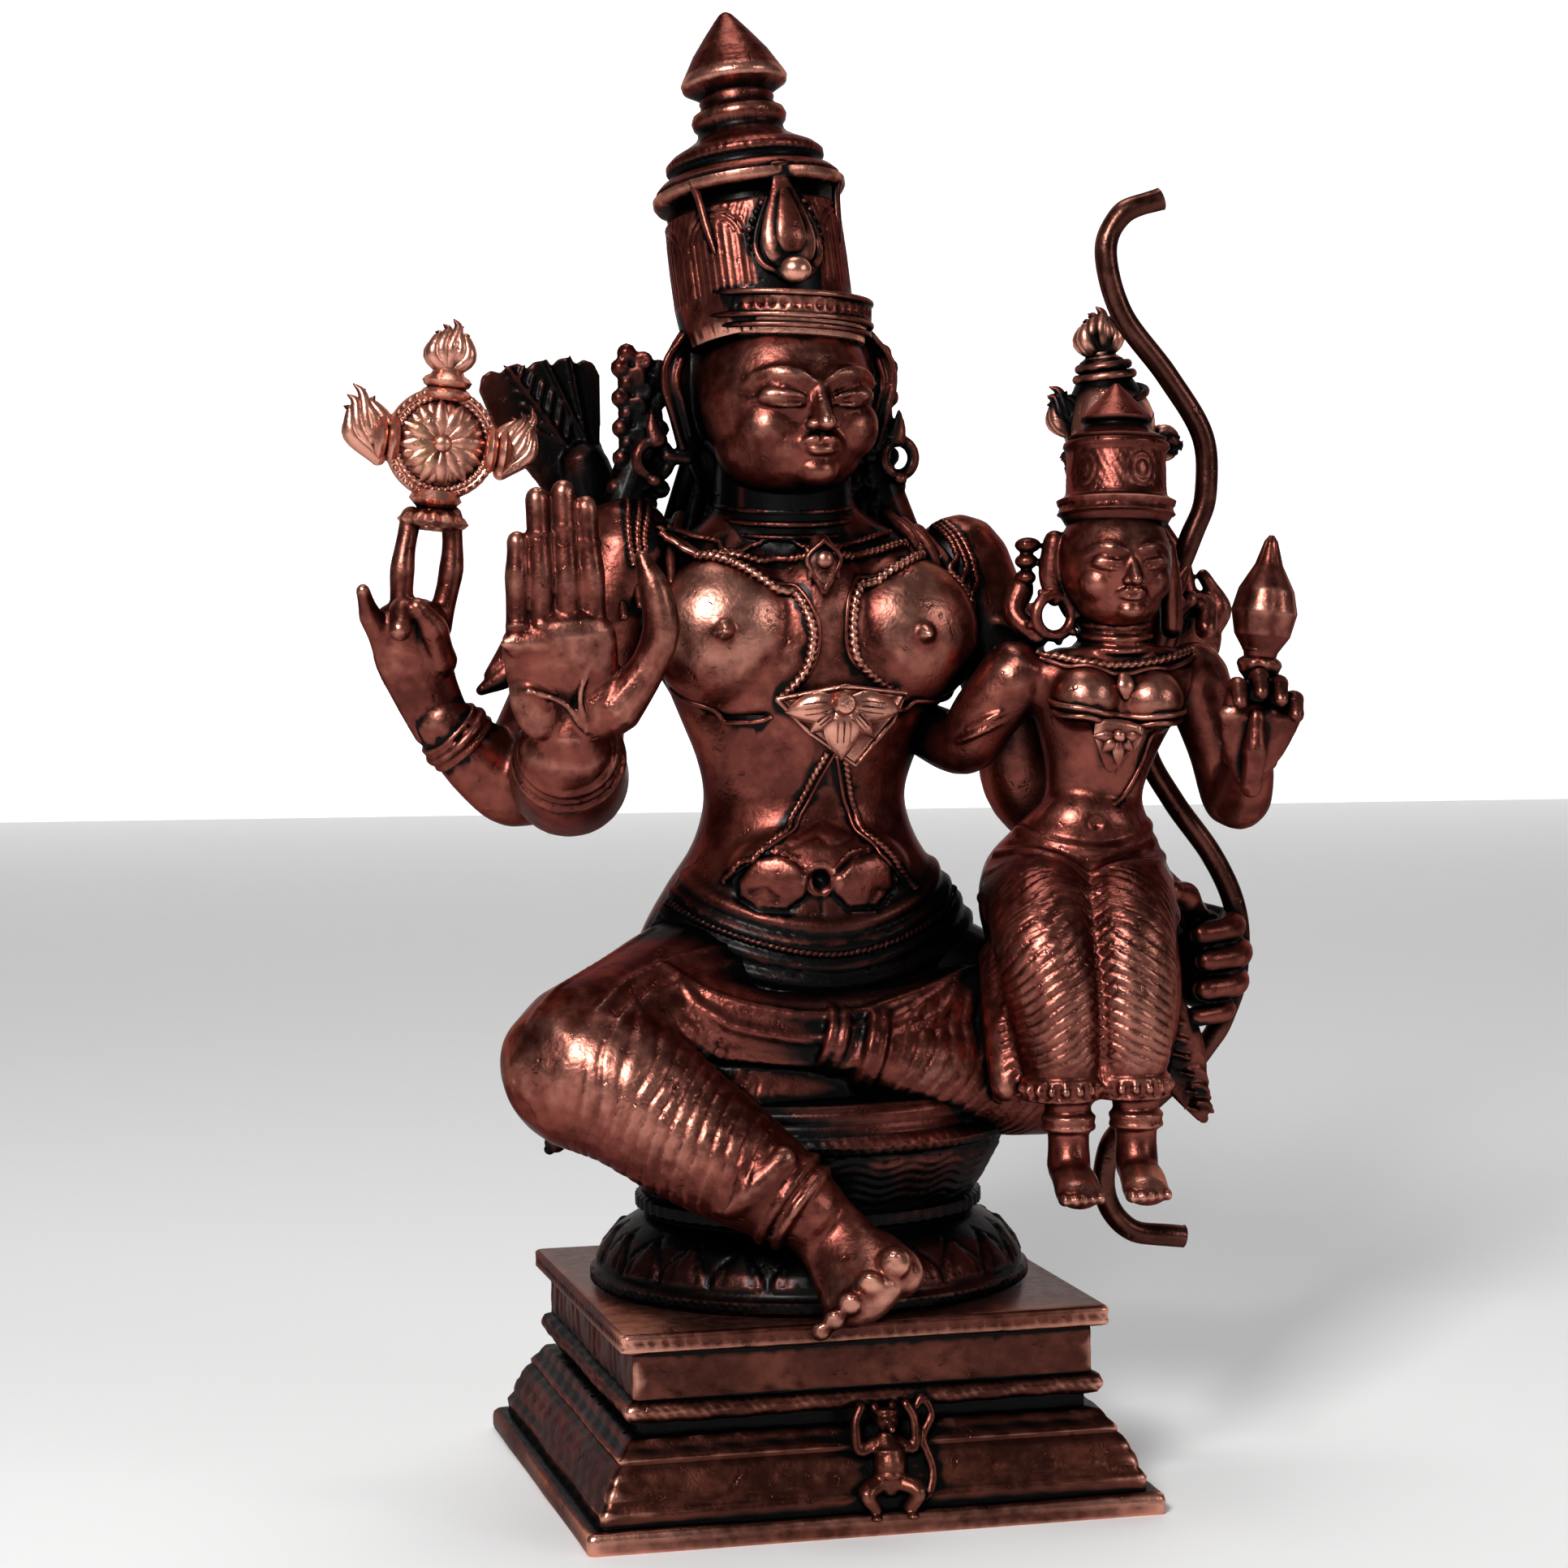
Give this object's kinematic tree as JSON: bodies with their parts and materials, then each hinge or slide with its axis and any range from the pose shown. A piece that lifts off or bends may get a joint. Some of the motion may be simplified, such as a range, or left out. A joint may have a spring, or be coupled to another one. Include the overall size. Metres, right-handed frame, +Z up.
{
  "type": "seated deity and consort statuette",
  "caption": "Cast copper and brass idol of a seated four-armed god with his consort on his thigh, on a lotus seat and square stepped plinth, with a loose bow.",
  "frame": {"origin": "centre of the plinth's flat underside", "axes": "+Z up the statue, -Y towards the front that the god faces, +X towards the consort"},
  "size_m": [0.1269, 0.081, 0.2018],
  "materials": {
    "antique_copper": "antique copper-brown patina, satin on the high spots and near black in the hollows",
    "dark_plinth_copper": "dark antique copper patina, worn to bright metal along the edges",
    "bow_bronze": "dark copper-brown patina, satin"
  },
  "bodies": {
    "root": {"plinth": "dark_plinth_copper", "figure_group": "antique_copper", "bow": "bow_bronze"}
  },
  "joints": []
}
